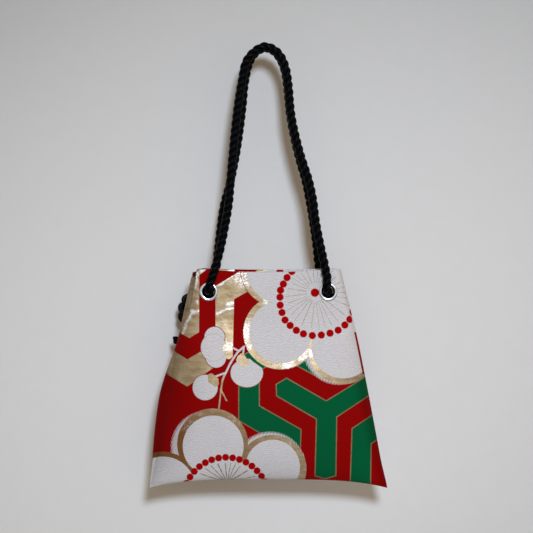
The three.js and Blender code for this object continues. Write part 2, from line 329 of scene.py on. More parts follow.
# A curve through the points, cut into equal steps
def smoothRoute(points):
    spots = np.array(points, float)
    spots = np.vstack([2 * spots[0] - spots[1], spots, 2 * spots[-1] - spots[-2]])
    knots = np.concatenate([[0], np.cumsum(np.sqrt(np.linalg.norm(np.diff(spots, axis=0), axis=1)))])
    pieces = []
    for i in range(1, len(spots) - 2):
        t = np.linspace(knots[i], knots[i + 1], ropeCut["samples"], endpoint=False)[:, None]
        k0, k1, k2, k3 = knots[i - 1:i + 3]
        p0, p1, p2, p3 = spots[i - 1:i + 3]
        a1, a2, a3 = between(t, k0, k1, p0, p1), between(t, k1, k2, p1, p2), between(t, k2, k3, p2, p3)
        b1, b2 = between(t, k0, k2, a1, a2), between(t, k1, k3, a2, a3)
        pieces.append(between(t, k1, k2, b1, b2))
    line = np.vstack([*pieces, spots[-2]])
    run = np.concatenate([[0], np.cumsum(np.linalg.norm(np.diff(line, axis=0), axis=1))])
    even = np.linspace(0, run[-1], max(2, round(run[-1] / ropeCut["step"])) + 1)
    return np.column_stack([np.interp(even, run, line[:, k]) for k in range(3)]), even


# Sideways directions carried along a curve without twist
def carriedFrame(line):
    along = unit(np.gradient(line, axis=0))
    sides = [unit(np.cross(along[0], ropeCut["firstSide"]))]
    for direction in along[1:]:
        sides.append(unit(sides[-1] - direction * (sides[-1] @ direction)))
    sides = np.array(sides)
    return sides, np.cross(along, sides)


# Points, faces and plan of three strands wound round a route, with rounded cut ends
def strandMesh(route, start):
    line, run = smoothRoute(route)
    side, over = carriedFrame(line)
    sides = ropeCut["sides"]
    turn = np.linspace(0, 2 * math.pi, sides, endpoint=False)[None, :, None]
    points, faces, corners = [], [], []
    for strand in range(ropeCut["strands"]):
        angle = 2 * math.pi * (run / ropeCut["lay"] + strand / ropeCut["strands"])
        outward = np.cos(angle)[:, None] * side + np.sin(angle)[:, None] * over
        core = line + ropeCut["helixRadius"] * outward
        heading = unit(np.gradient(core, axis=0))
        across = unit(np.cross(heading, outward))
        up = np.cross(across, heading)
        ring = np.cos(turn) * up[:, None] + np.sin(turn) * across[:, None]
        base = start + len(points)
        points.extend((core[:, None] + ropeCut["strandRadius"] * ring).reshape(-1, 3))
        for i in range(len(line) - 1):
            low, high = run[i] / mm, run[i + 1] / mm
            for k in range(sides):
                first, second = base + i * sides + k, base + i * sides + (k + 1) % sides
                faces.append((first, second, second + sides, first + sides))
                left, right = k / sides, (k + 1) / sides
                corners += [(low, left), (low, right), (high, right), (high, left)]
        for i, sign in ((0, -1), (len(line) - 1, 1)):
            tip = start + len(points)
            points.append(core[i] + sign * heading[i] * ropeCut["strandRadius"] * ropeCut["tipBulge"])
            for k in range(sides):
                first, second = base + i * sides + k, base + i * sides + (k + 1) % sides
                faces.append((first, second, tip)[::sign])
                corners += [(run[i] / mm, 0.0)] * 3
    return points, faces, corners


def ropePiece(name, routes, material):
    points, faces, corners = [], [], []
    for route in routes:
        morePoints, moreFaces, moreCorners = strandMesh(route, len(points))
        points += morePoints
        faces += moreFaces
        corners += moreCorners
    piece = addMesh(name, points, faces, material, corners)
    return piece


# Each leg leans from its eyelet towards the hook
def loopRoute(loop, pivotY):
    route = []
    for x, z in loop:
        lean = min(max(z / eyeletZ, 0), 1)
        route.append((x, math.copysign(loopY, pivotY) * (1 - lean) + pivotY * lean, z))
    return route


def hangCord(route):
    line = smoothRoute(route)[0]


def makeFrontRope(material):
    left = [
        (-eyeletX, -cutY, eyeletZ), (-eyeletX + 0.0003, -0.0140, eyeletZ + 0.0002),
        (-eyeletX + 0.0006, -0.0186, eyeletZ + 0.0030), (-eyeletX + 0.0009, -0.0203, eyeletZ + 0.0085),
    ]  # out of the eyelet and up
    lean = holeLean["right"][0][0]
    right = [(lean - x, y, z) for x, y, z in reversed(left)]
    route = [*left, *loopRoute(frontLoop, frontPivotY), *right]
    piece = ropePiece("front_rope", [route], material)
    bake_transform(piece)
    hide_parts("front_handle", "rope_inside_front_left", "rope_inside_front_right")
    hangCord(route)


def makeBackRope(material):
    knotEnd = [
        (-0.0842, backPivotY, eyeletZ), (-0.0790, backPivotY, eyeletZ),
        (-0.0735, backPivotY, eyeletZ + 0.0006), (-0.0684, backPivotY, eyeletZ + 0.0042),
    ]
    lean = holeLean["right"][1][0]
    right = [
        (eyeletX - 0.0020, backPivotY - 0.0002, eyeletZ + 0.0080),
        (eyeletX - 0.0005, backPivotY - 0.0022, eyeletZ + 0.0024),
        (eyeletX + lean, backPivotY - 0.0070, eyeletZ + 0.0002), (eyeletX + lean, cutY, eyeletZ),
    ]  # down and into the eyelet
    route = [*knotEnd, *loopRoute(backLoop, backPivotY), *right]
    piece = ropePiece("back_rope", [route], material)
    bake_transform(piece)
    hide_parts("back_handle", "rope_inside_back_right")
    hangCord(route)


def makeInsideRopes(material):
    for edge, x in (("left", -eyeletX), ("right", eyeletX)):
        front, back = np.array(holeLean[edge])
        route = []
        for share in np.linspace(-1, 1, 5):
            leanX, leanZ = front + (back - front) * (share + 1) / 2
            route.append((x + leanX, share * cutY, eyeletZ + leanZ - insideSag * (1 - share ** 2)))
        bendWithMouth(ropePiece("rope_inside_" + edge, [route], material))


knotShape = {
    "middle": (-0.0935, 0.03035, -0.3035),
    "slant": 0.30,  # radians from upright, upper end to the right
    "turns": 2.6,
    "steps": 26,
    "radius": 0.0103,  # middle of the knot to the middle of its widest turn
    "taper": 1.5,
    "top": 0.0091,
    "bottom": -0.0185,
    "tilt": 0.0018,  # each turn stands this much higher on the side away from the bag
    "entry": (0.001, 0.0150),  # where the rope comes in, across and along the knot
    "exit": 0.002,  # how far behind the middle it ends
}
longEnd = [
    (-0.0905, 0.0300, -0.296), (-0.0950, 0.03035, -0.305), (-0.0945, 0.0294, -0.323),
    (-0.097, 0.0284, -0.336), (-0.105, 0.0274, -0.3460), (-0.115, 0.0264, -0.3480),
]
shortEnd = [
    (-0.0905, 0.0290, -0.297), (-0.0875, 0.03035, -0.305), (-0.0825, 0.0294, -0.321),
    (-0.080, 0.0284, -0.333), (-0.0795, 0.0274, -0.349),
]


def makeKnot(material):
    shape = knotShape
    middle = np.array(shape["middle"])
    sine, cosine = math.sin(shape["slant"]), math.cos(shape["slant"])
    wide, deep, long = np.array((cosine, 0, -sine)), np.array((0, 1, 0)), np.array((sine, 0, cosine))
    wrap = [middle + long * shape["entry"][1] + wide * shape["entry"][0]]
    for i in range(shape["steps"] + 1):
        share = i / shape["steps"]
        angle = 2 * math.pi * shape["turns"] * share
        radius = shape["radius"] * (1 - shape["taper"] * (share - 0.5) ** 2)
        height = shape["top"] + (shape["bottom"] - shape["top"]) * share + shape["tilt"] * math.sin(angle)
        wrap.append(middle + radius * (math.cos(angle) * wide + math.sin(angle) * deep) + height * long)
    wrap.append(middle + shape["bottom"] * long + shape["exit"] * deep)
    piece = ropePiece("rope_knot_tied", [wrap, longEnd, shortEnd], material)
    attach(piece, "knot")
    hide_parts("rope_knot", "rope_end_long", "rope_end_short")
    leanX, leanZ = holeLean["left"][1]
    strand = [
        (leanX - eyeletX, cutY, eyeletZ + leanZ), (leanX - eyeletX, 0.0135, eyeletZ + leanZ),
        (-0.0726, 0.0168, -0.2897), (-0.0768, 0.0198, -0.2937), (-0.0822, 0.0212, -0.2985),
        (-0.0885, 0.0240, -0.3015),
    ]
    piece = ropePiece("rope_to_knot", [strand], material)
    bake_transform(piece)
    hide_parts("rope_inside_back_left")


# Cloth: the same formula as the solids, so that every layer follows them

bag = {
    "hangDrop": 0.259,
    "height": 0.264,
    "leftMargin": 0.0218,
    "rightMargin": 0.0158,
    "bottomHalf": 0.141,
    "leftBow": (0.0104, 0.25, 0.58),  # how far, and from and at which share of the height
    "rightBow": (0.0028, 0.0, 0.35),
    "bowFade": 1.6,
    "cornerFlare": 0.0016,
    "flareFrom": 0.86,
    "bottomRise": 0.0102,
    "leftRisePower": 3.8,
    "rightRisePower": 3.6,
    "frontSag": 0.005,
    "backSag": 0.0022,
    "leftDip": 0.005,
    "rightDip": 0.0018,
    "dipFrom": 0.88,
    "cornerDip": 0.007,  # the front's left corner has slipped
    "cornerFrom": (0.918, 0.936),  # between these shares of the half width
    "slipDepth": 0.25,  # share of the height where the slip ends
    "mouthDepth": 0.012,
    "frontBelly": 0.035,
    "mouthBand": 0.056,
    "bellyDrop": 0.165,
    "closeFrom": 0.6,
    "seamTurn": 0.009,
    "frontFlat": 0.06,
    "backFlat": 0.5,
    "edgePower": 0.6,
    "seamGap": 0.0003,
    "backTuck": 0.0007,  # the back's edge stays behind the front's
    "leftTuck": 0.0013,  # and further behind the corner that has slipped
    "ripple": 0.0011,  # soft waves of the cloth
    "waves": [(1, 15, 11, 3.7), (0.45, 38, 26, 5.1)],  # share, frequency across and down, seed
    "calmTop": (0.2, 0.4),  # they start between these shares of the height
    "calmBottom": (0.86, 0.99),  # and end between these
    "calmSides": 6,
    "trimEnd": (0.17, 0.24),  # where a layer that is trimmed at the mouth gets its full width
    "steep": 1.35,  # cloth that runs back more than this is measured along its slope
}
layers = {
    "panel": {
        "inset": 0.0, "sideInset": 0.0, "thick": 0.001, "trim": 0.0,  # trim is cut off the width at the mouth
        "from": 0.0, "to": 1.0, "columns": 128, "rows": 120, "holes": True,
        # the wrong side takes its colour from a spot within the painted seam shade, so it shows dark as if in
        # shade
        "flat": (0.30, 0.285), "area": 0.066, "reverse": (-128.0, -150.0),  # its wrong side is plain ground
    },
    "interlining": {
        "inset": 0.0013, "sideInset": 0.0013, "thick": 0.0008, "trim": 0.07,
        "from": 0.003, "to": 1.0, "columns": 90, "rows": 116, "holes": True,
        "flat": (0.30, 0.28), "area": 0.064, "reverse": None,
    },
    "facing": {
        "inset": 0.0024, "sideInset": 0.0012, "thick": 0.0009, "trim": 0.0,
        "from": 0.0, "to": 0.044 / bag["height"], "columns": 128, "rows": 26, "holes": True,
        "flat": (0.20, 0.046), "area": 0.0088, "reverse": None,
    },
    "lining": {
        "inset": 0.0024, "sideInset": 0.0024, "thick": 0.0005, "trim": 0.0,
        "from": 0.0443 / bag["height"], "to": 1.0, "columns": 64, "rows": 60, "holes": False,
        "flat": (0.30, 0.24), "area": 0.056, "reverse": None,
    },
}
hole = {
    "radius": 0.0082,
    "reach": 0.016,  # the cloth is pushed aside as far as here
    "cut": 0.003,  # before that, it is cut out as far as here
}
facingShift = 40  # millimetres by which the facings bear the pattern higher


def drawIn(share, start):
    t = np.clip((share - start) / (1 - start), 0, 1)
    return (1 - t * t) ** bag["edgePower"]


def softWave(x, z, side):
    values = np.empty(x.size)
    for i, (px, pz) in enumerate(zip(x.ravel(), z.ravel())):
        values[i] = sum(share * noise.noise((px * across, pz * down, side * seed))
                        for share, across, down, seed in bag["waves"])
    return values.reshape(x.shape)


def seamBow(b, bow, start, most):
    fade = np.clip((b - most) / (1 - most), 0, 1) ** bag["bowFade"]
    return bow * smoothStep(b, start, most) * (1 - fade)


def byEdge(a, key):
    return np.where(a < 0, bag["left" + key], bag["right" + key])


def byHalf(side, key):
    return bag["front" + key] if side < 0 else bag["back" + key]


# A point of the cloth: side -1 is the front, a runs from seam to seam, b runs down from the mouth
def bagPoint(side, a, b, inset, sideInset):
    across = np.abs(a)
    slip = 1 - smoothStep(b, 0, bag["slipDepth"])
    topHalf = eyeletX + byEdge(a, "Margin")
    bow = np.where(a < 0, seamBow(b, *bag["leftBow"]), seamBow(b, *bag["rightBow"]))
    flare = bag["cornerFlare"] * smoothStep(b, bag["flareFrom"], 1)
    seamHalf = topHalf + (bag["bottomHalf"] - topHalf) * b + bow + flare
    if side > 0:
        seamHalf = seamHalf - bag["backTuck"] - np.where(a < 0, bag["leftTuck"], 0) * slip
    swell = smoothStep(b, bag["mouthBand"] / bag["height"], bag["bellyDrop"] / bag["height"])
    sag = byHalf(side, "Sag") * (1 - a * a)
    topZ = -bag["hangDrop"] - sag - byEdge(a, "Dip") * smoothStep(across, bag["dipFrom"], 1)
    rise = bag["bottomRise"] * (1 - across ** byEdge(a, "RisePower"))
    lowZ = -bag["hangDrop"] - bag["height"] + rise + inset
    belly = bag["frontBelly"] if side < 0 else bag["mouthDepth"]
    mouthFlat = 1 - bag["seamTurn"] / seamHalf
    flat = mouthFlat + (byHalf(side, "Flat") - mouthFlat) * swell
    full = bag["mouthDepth"] + (belly - bag["mouthDepth"]) * swell - inset
    depth = full * drawIn(b, bag["closeFrom"]) * drawIn(across, flat)
    x = a * (seamHalf - sideInset)
    z = topZ + (lowZ - topZ) * b
    if side < 0:
        z = z - bag["cornerDip"] * smoothStep(-a, *bag["cornerFrom"]) * slip
    inMiddle = smoothStep(b, *bag["calmTop"]) * (1 - smoothStep(b, *bag["calmBottom"]))
    inMiddle = inMiddle * (1 - across ** bag["calmSides"])
    depth = depth + bag["ripple"] * inMiddle * softWave(x, z, side)
    return np.stack([x, side * (bag["seamGap"] / 2 + depth), z], axis=-1)


# Opens a round hole in a grid of points at each eyelet
def openHoles(grid):
    radius, reach = hole["radius"], hole["reach"]
    for x in (-eyeletX, eyeletX):
        dx, dz = grid[..., 0] - x, grid[..., 2] - eyeletZ
        r = np.maximum(np.hypot(dx, dz), 1e-6)
        near = np.where(r < reach, (radius + r * (reach - radius) / reach) / r, 1)
        grid[..., 0] = x + dx * near
        grid[..., 2] = eyeletZ + dz * near


# Length that the cloth runs back along one axis of its grid, up to each point
def turnedAway(whole, axis, part):
    steps = np.linalg.norm(np.diff(whole, axis=axis), axis=2)
    spare = np.maximum(steps - bag["steep"] * np.abs(np.diff(whole[..., part], axis=axis)), 0)
    first = np.zeros_like(spare.take([0], axis=axis))
    return np.concatenate([first, np.cumsum(spare, axis=axis)], axis=axis)


# Where each point lies on the flat cloth, in millimetres right of the middle and above the mouth edge
def clothPlan(grid, whole, side):
    closer = cameraSetup["distance"] / (cameraSetup["distance"] + grid[..., 1]) if side < 0 else 1
    u = cameraSetup["aimX"] + (grid[..., 0] - cameraSetup["aimX"]) * closer
    v = cameraSetup["aimZ"] + (grid[..., 2] - cameraSetup["aimZ"]) * closer + bag["hangDrop"]
    run = turnedAway(whole, 1, 0)
    u = u + run - run[:, grid.shape[1] // 2][:, None]
    v = v - turnedAway(whole, 0, 2)
    return np.stack([u, v], axis=-1) / mm


def clothLayer(name, side, cut, material, plan):
    across = np.sin(np.linspace(-1, 1, cut["columns"] + 1) * math.pi / 2)
    down = np.sin(np.linspace(0, 1, cut["rows"] + 1) * math.pi / 2)
    a, b = np.meshgrid(across, cut["from"] + (cut["to"] - cut["from"]) * down)
    a = a * (1 - cut["trim"] * (1 - smoothStep(b, *bag["trimEnd"])))
    outer = bagPoint(side, a, b, cut["inset"], cut["sideInset"])
    inner = bagPoint(side, a, b, cut["inset"] + cut["thick"], cut["sideInset"] + cut["thick"])
    whole = outer.copy()  # before the holes are opened
    count = a.size
    index = np.arange(count).reshape(a.shape)
    quads = np.stack([index[:-1, :-1], index[1:, :-1], index[1:, 1:], index[:-1, 1:]], axis=-1).reshape(-1, 4)
    if cut["holes"]:
        middles = outer.reshape(-1, 3)[quads].mean(axis=1)
        gap = np.hypot(np.abs(middles[:, 0]) - eyeletX, middles[:, 2] - eyeletZ)
        quads = quads[gap > hole["cut"]]
        openHoles(outer)
        openHoles(inner)
    if side > 0:
        quads = quads[:, ::-1]
    faces = [tuple(q) for q in quads] + [tuple(q[::-1] + count) for q in quads]
    edges = {(int(q[k]), int(q[(k + 1) % 4])) for q in quads for k in range(4)}
    faces += [(j, i, i + count, j + count) for i, j in sorted(edges) if (j, i) not in edges]
    spots = plan(clothPlan(outer, whole, side)).reshape(-1, 2)
    corners = spots[np.array(faces).ravel() % count]
    if cut["reverse"]:
        corners[quads.size:2 * quads.size] = cut["reverse"]
    points = np.vstack([outer.reshape(-1, 3), inner.reshape(-1, 3)])
    piece = addMesh(name, points, faces, material, corners)
    bendWithMouth(piece)
    return piece


# Cloth and rope that cross from the back to the front; only their transforms are baked into their points
def bendWithMouth(piece):
    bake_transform(piece)


def asCut(spots):
    return spots


def turnedOver(spots):
    return np.stack([spots[..., 0], -bag["height"] / mm - spots[..., 1]], axis=-1)


def belowMouth(spots):
    return spots - np.array((0, facingShift))


def makeCloth(looks):
    for half, side, plan in (("front", -1, asCut), ("back", 1, turnedOver)):
        for layer, cut in layers.items():
            material, slot = looks[layer]
            layerPlan = belowMouth if layer == "facing" else plan
            piece = clothLayer(half + "_cloth_" + layer, side, cut, material, layerPlan)
            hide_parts(half + "_" + layer)
    print("cloth layers done")


# Brocade: lattice figures, plum blossoms and a sprig on a red ground, in millimetres on the flat cloth

thread = {
    "red": srgb(137, 6, 6),
    "green": srgb(5, 86, 50),
    "white": srgb(198, 194, 194),
    "gold": srgb(180, 159, 126),
    "brown": srgb(153, 128, 94),
    "deep": srgb(128, 86, 50),
    "edging": srgb(112, 78, 50),
    # painted highlight: the colour the gold turns where the foil catches the light
    "paintedGlint": srgb(250, 247, 243),
    "dotRed": srgb(158, 3, 4),
    "rim": srgb(168, 158, 146),
}
threadWork = {
    "edgeSoft": 0.3,  # half the width in which one colour gives way to the next
    "redLine": 0.9,  # ground left free round a petal
    "rimWidth": 0.35,
    "hatchSlope": 0.25,
    "hatchPitch": 1.7,
    "hatchDepth": 3.2,  # a petal's hatched fringe is full this far inside it
    "deepAcross": (30.0, -90.0),  # the gold is deepest at the lower left, from and to
    "deepDown": (-160.0, -190.0),
    "zigzagPitch": 2.5,
    "zigzagWidth": 10.0,
    "zigzagSlope": 0.32,
    "ribPitch": 0.75,
}
lattice = {
    "gold": [
        [(-142.2, 21.4), (-83.0, 21.4), (-83.5, -77.1), (-95.0, -84.1), (-142.2, -59.0)],
        [(-63.5, -21.8), (-40.7, -8.1), (-43.0, -107.0), (-63.5, -95.0)],
        [(-62.2, -21.0), (-7.8, 11.8), (7.8, -10.4), (-52.2, -43.4)],
        [(-142.2, -82.4), (-97.4, -110.1), (-97.6, -142.4), (-142.2, -114.6)],
        [(-97.4, -110.1), (-52.2, -83.5), (-52.2, -109.6), (-97.6, -142.4)],
        [(-100.0, -112.5), (-95.0, -112.5), (-95.0, -138.0), (-100.0, -138.0)],
        [(-90.0, 6.0), (-72.0, 6.0), (-74.4, -1.8), (-82.2, -8.0), (-90.0, -8.0)],
    ],
    "green": [
        [(9.6, -153.7), (9.1, -139.8), (21.7, -132.2), (78.0, -164.7), (66.4, -186.7)],
        [(61.5, -164.3), (145.8, -112.8), (151.8, -132.8), (74.3, -184.0)],
        [(57.7, -172.5), (82.1, -170.0), (80.9, -249.6), (67.4, -253.5), (55.7, -249.6)],
        [(-35.8, -116.6), (-10.9, -116.6), (-10.9, -197.7), (-35.8, -183.3)],
        [(-30.0, -104.6), (-24.6, -101.6), (-0.6, -101.0), (-0.6, -117.3), (-10.9, -123.8), (-34.2, -123.8)],
        [(-35.8, -151.4), (39.1, -193.9), (38.5, -214.8), (26.4, -219.7), (-35.8, -183.3)],
        [(100.2, -192.8), (123.7, -177.1), (122.4, -278.6), (97.3, -278.6)],
        [(100.2, -192.8), (151.8, -158.2), (151.8, -191.6), (100.2, -227.0)],
        [(25.8, -113.0), (69.1, -136.5), (76.2, -122.6), (49.8, -98.6)],
    ],
    "outline": 0.6,
    "seamRed": [(103.0, -77.0), (113.4, -128.0), (160.0, -128.0), (160.0, -77.0)],  # beside the right petal
}
upperBlossom = {
    "heart": (58.2, -37.4, 45.0),  # middle and radius of the white heart
    "dots": [
        (28.0, -4.4), (22.2, -11.7), (17.8, -19.4), (14.4, -26.8), (13.8, -35.2), (14.0, -44.8),
        (16.2, -53.6), (19.8, -62.6), (26.0, -69.2), (33.4, -75.0), (41.9, -79.2), (52.6, -81.3),
        (63.4, -80.6), (73.8, -78.4), (83.6, -74.8), (91.6, -68.6), (97.6, -61.8), (102.0, -53.0),
        (103.8, -43.4), (103.2, -33.8),
    ],
    "dotRadius": 4.4,
    "middleDots": [(55.7, -29.8, 5.1)],
    "stamens": (56.6, -29.6, 8.0, 5.5, 29),  # middle, gaps to it and to the heart's rim, count
    "stamenWidth": 0.4,
    "stamenSpread": 5.0,  # how uneven their ends are
    "stamenTone": srgb(158, 147, 130),
    "white": [(13.2, -2.6, 39.6), (14.4, -77.0, 37.6), (89.4, -95.0, 37.8), (119.4, -26.6, 39.6),
              (67.8, 27.4, 39.6)],
    "rings": [(12.2, -1.6, 45.4), (14.0, -77.5, 44.2), (89.6, -97.2, 42.2), (121.4, -26.6, 42.6),
              (67.8, 29.4, 43.2)],
    "fringes": [(16.2, -78.2, 43.8), (84.6, -96.6, 44.0)],
}
arch = [1.581 + i * math.pi / 19 for i in range(-12, 13)]  # directions of the lower blossom's dots
lowerBlossom = {
    "heart": (-51.0, -278.6, 51.5),
    "dots": [(-51.0 + 51.2 * math.cos(angle), -278.6 + 51.2 * math.sin(angle)) for angle in arch],
    "dotRadius": 4.2,
    "middleDots": [],
    "stamens": (-49.5, -258.2, 2.0, 5.2, 22),
    "stamenWidth": 0.55,
    "stamenSpread": 2.5,
    "stamenTone": srgb(122, 102, 78),
    "white": [(-66.4, -213.8, 36.6), (-126.6, -265.4, 39.0), (5.0, -239.0, 32.8)],
    "rings": [(-67.1, -211.4, 42.4), (-126.6, -265.4, 44.4), (4.6, -241.4, 40.8)],
    "fringes": [(-73.8, -215.0, 43.8), (1.8, -239.6, 43.4)],
}
sprig = {
    "lobes": [(-64.6, -83.0, 12.2, 12.2), (-63.0, -107.6, 12.2, 12.2)],  # middle, half width, half height
    "buds": [(-66.0, -95.6, 14.9, 16.4), (-26.0, -126.2, 19.2, 16.9), (-76.0, -143.6, 14.8, 15.0)],
    "calyxes": [
        (-49.8, -96.2, 6.0), (-48.0, -87.8, 3.8), (-48.0, -105.2, 4.2), (-32.4, -109.4, 5.5),
        (-29.4, -113.6, 4.8), (-26.0, -114.0, 2.6), (-35.4, -110.6, 3.2), (-31.8, -105.2, 2.6),
        (-67.2, -134.0, 5.5), (-63.8, -138.2, 4.1), (-69.0, -130.4, 3.6), (-63.0, -134.6, 3.0),
    ],
    "stalks": [
        (-29.4, -94.4, -36.6, -101.0, 1.2), (-36.6, -101.0, -42.0, -108.2, 1.2),
        (-42.0, -108.2, -46.8, -116.6, 1.2), (-46.8, -116.6, -52.8, -129.0, 1.2),
        (-29.6, -95.0, -30.4, -103.4, 1.0), (-43.8, -95.4, -36.0, -99.6, 1.1),
        (-63.6, -130.4, -52.2, -126.2, 1.1),
    ],  # two ends and half width
    "greenBand": [(-25.0, -104.2, -16.5, -111.9, 1.9), (-16.5, -111.9, -7.0, -119.0, 1.5)],  # beside a bud
    "goldStalks": [
        (-52.8, -129.0, -55.2, -134.6, 1.0), (-55.2, -134.6, -57.0, -146.6, 0.95),
        (-57.0, -146.6, -59.6, -169.4, 0.8), (-56.6, -147.2, -50.4, -159.2, 0.75),
    ],
}
glints = {
    "zones": [
        (-30.6, -12.2, 14.4), (-0.6, -41.0, 8.4), (-26.4, -74.6, 16.0), (-48.6, -94.4, 8.4),
        (-27.0, -93.8, 8.4), (23.4, -114.8, 10.8), (41.4, -104.6, 9.6), (51.6, -102.2, 7.2),
    ],  # painted highlights: places where the foil catches the light
    # creases are raised in the bumps and also get a painted highlight along them
    "creases": [
        (-85.2, -6.2, -88.2, -23.0, 1.3), (-91.8, -53.6, -84.0, -51.8, 2.4),
        (-93.0, -55.4, -99.6, -68.6, 1.2), (-99.6, -68.6, -103.2, -78.2, 1.5),
        (-62.4, -54.8, -55.8, -51.8, 1.4), (-55.8, -51.8, -42.6, -48.2, 1.0),
        (-48.6, -45.2, -42.6, -42.2, 1.9), (-86.4, -41.0, -85.2, -42.2, 1.3),
        (-61.8, -21.8, -43.8, -11.0, 1.0), (-81.0, -3.8, -76.8, -2.0, 1.6),
    ],
    "leftFold": [(-86.0, -20.0, -86.0, -50.0), (-84.0, -52.0, -103.0, -78.0)],
    "foldSlope": 0.3,  # the cloth bends back left of these lines
    "edgeTurns": [
        (1.0, -0.186, 93.0, 46.0, 0.55), (-1.0, -0.2, 88.0, 30.0, 0.2), (0.0, 1.0, 256.0, 95.0, -0.22),
    ],  # line of a seam, reach and steepness of the cloth's turn there
    "leftTurn": (-70.0, -150.0),  # the turn at the left seam starts and is full at these heights
    "goldTurn": 0.6,  # share of it that the gold has above them
    "stray": (0.16, 7),  # zones and creases wander: how densely, and how far
    "sparkle": (0.45, 0.57),  # the grain shines between these values
    "zoneEdge": (1.1, 0.4),  # a zone starts and is full at these shares of its radius
    "zoneShine": (0.68, 0.1),  # what the sparkle adds, and the least shine
    "creaseEdge": (1.6, -1.4),
    "creaseShine": (0.45, 0.55),
    "slubAndGlint": (0.52, 0.72),  # painted highlight: the gold turns silver at random between these values of a wide noise
    "randomGlintShine": 0.3,
    "heights": (0.45, 2.2, 0.25),  # of the creases, the wide waves and the grain
}
facingShade = {"from": 78.0, "to": 85.0, "share": 0.1}  # the facings darken into the side seams
# painted shade: the coloured ground darkens along the side seams, where the cloth turns away from the light
paintedSeamShade = {
    "lines": [(1.0, -0.3, 84.6), (1.0, -0.11, 114.3), (-1.0, -0.22, 84.8)],  # left seam in two, right seam
    "from": 5.0,  # the coloured ground is darkest from the seam to here
    "to": 14.0,
    "share": 0.72,
    "top": (-90.0, -125.0),  # it starts and is full at these heights
}


def maskOf(distance):
    return ramp(distance, threadWork["edgeSoft"], -threadWork["edgeSoft"])


def nearest(distances):
    return reduced("MINIMUM", distances)


def discDistance(spot, x, y, radius):
    return vectorCalc("DISTANCE", spot, (x, y, 1)) - radius


def nearestDisc(spot, discs):
    return nearest([discDistance(spot, *disc) for disc in discs])


def ovalDistance(spot, x, y, halfWidth, halfHeight):
    squeezed = stretched(vectorCalc("SUBTRACT", spot, (x, y, 0)), (1, halfWidth / halfHeight, 0))
    return vectorCalc("LENGTH", squeezed) - halfWidth


# How far a point lies beyond a line, on the side that the normal points to
def beyondLine(spot, normal, onLine):
    return vectorCalc("DOT_PRODUCT", spot, (normal[0], normal[1], -float(normal @ onLine)))


# How far a point lies outside a convex outline
def outlineDistance(spot, corners):
    middle = np.mean(corners, axis=0)
    sides = []
    for first, second in zip(corners, corners[1:] + corners[:1]):
        edge = np.subtract(second, first)
        normal = np.array((edge[1], -edge[0])) / np.hypot(*edge)
        if normal @ (middle - first) > 0:
            normal = -normal
        sides.append((normal, first))
    return reduced("MAXIMUM", (beyondLine(spot, *side) for side in sides))


def nearestOutline(spot, figures):
    return nearest([outlineDistance(spot, corners) for corners in figures])


# Thin lines from the middle towards the dots, of uneven length
def stamenGroup():
    sizes = ("Inner", "Reach", "Count", "Width", "Spread")
    group, given, out = newGroup("stamens", ("Spot", "Middle"), sizes, ("Mask",))
    offset = vectorCalc("SUBTRACT", given["Spot"], given["Middle"])
    x, y, _ = apart(offset)
    straight = calc("ARCTAN2", y, x)
    angle = timesPlus(calc("SINE", straight * 5.0), 0.05, straight)  # a little uneven round the middle
    step = calc("DIVIDE", 2 * math.pi, given["Count"])
    number = calc("ROUND", calc("DIVIDE", angle, step))
    chance = newNode(group, "TexWhiteNoise", noise_dimensions="1D")
    feed(number, chance.inputs["W"])
    far = vectorCalc("LENGTH", offset)
    aside = calc("ABSOLUTE", (angle - number * step) * far)
    line = ramp(aside - given["Width"], 0.25, -0.25)
    spread = Wire(chance.outputs["Value"]) * given["Spread"]
    start = ramp(far - (given["Inner"] + spread), -0.4, 0.4)
    end = ramp(given["Reach"] - spread, -0.4, 0.4)
    faded = ramp(noiseValue(given["Spot"], 0.3, 2.0), 0.35, 0.6, 0.45, 1.0)
    feed(line * (start * end) * faded, out["Mask"])
    return group


def stalkGroup():
    group, given, out = newGroup("stalk", ("Spot", "From", "To"), ("Width",), ("Distance",))
    reach = vectorCalc("SUBTRACT", given["Spot"], given["From"])
    whole = vectorCalc("SUBTRACT", given["To"], given["From"])
    share = calc("DIVIDE", vectorCalc("DOT_PRODUCT", reach, whole), vectorCalc("DOT_PRODUCT", whole, whole))
    held = ramp(share, 0.0, 1.0)
    feed(vectorCalc("DISTANCE", reach, scaled(whole, held)) - given["Width"], out["Distance"])
    return group


def stalkDistance(stalk, spot, x1, y1, x2, y2, width):
    return place(stalk, Spot=spot, From=(x1, y1, 1), To=(x2, y2, 1), Width=width)["Distance"]


# Fine zigzag of the white weave, and ribs of the coloured ground
def weaveGroup():
    group, given, out = newGroup("weave", ("Spot",), (), ("Zigzag", "Ribs", "Slub"))
    spot = given["Spot"]
    x, y, _ = apart(spot)
    bend = calc("PINGPONG", x, threadWork["zigzagWidth"]) * threadWork["zigzagSlope"]
    bend = timesPlus(noiseValue(spot, 0.16, 2.0), 6.0, bend)
    wave = calc("SINE", (y + bend) * (2 * math.pi / threadWork["zigzagPitch"]))
    broken = ramp(noiseValue(stretched(spot, (0.5, 1.5, 1.0)), 0.45, 3.0, 0.6), 0.35, 0.65, 0.12, 0.62)
    feed(timesPlus(wave, broken, 0.5), out["Zigzag"])
    rib = calc("SINE", y * (2 * math.pi / threadWork["ribPitch"]))
    feed(timesPlus(rib, 0.5, 0.5), out["Ribs"])
    feed(noiseValue(stretched(spot, (0.35, 2.2, 1.0)), 0.9, 3.0, 0.6), out["Slub"])
    return group
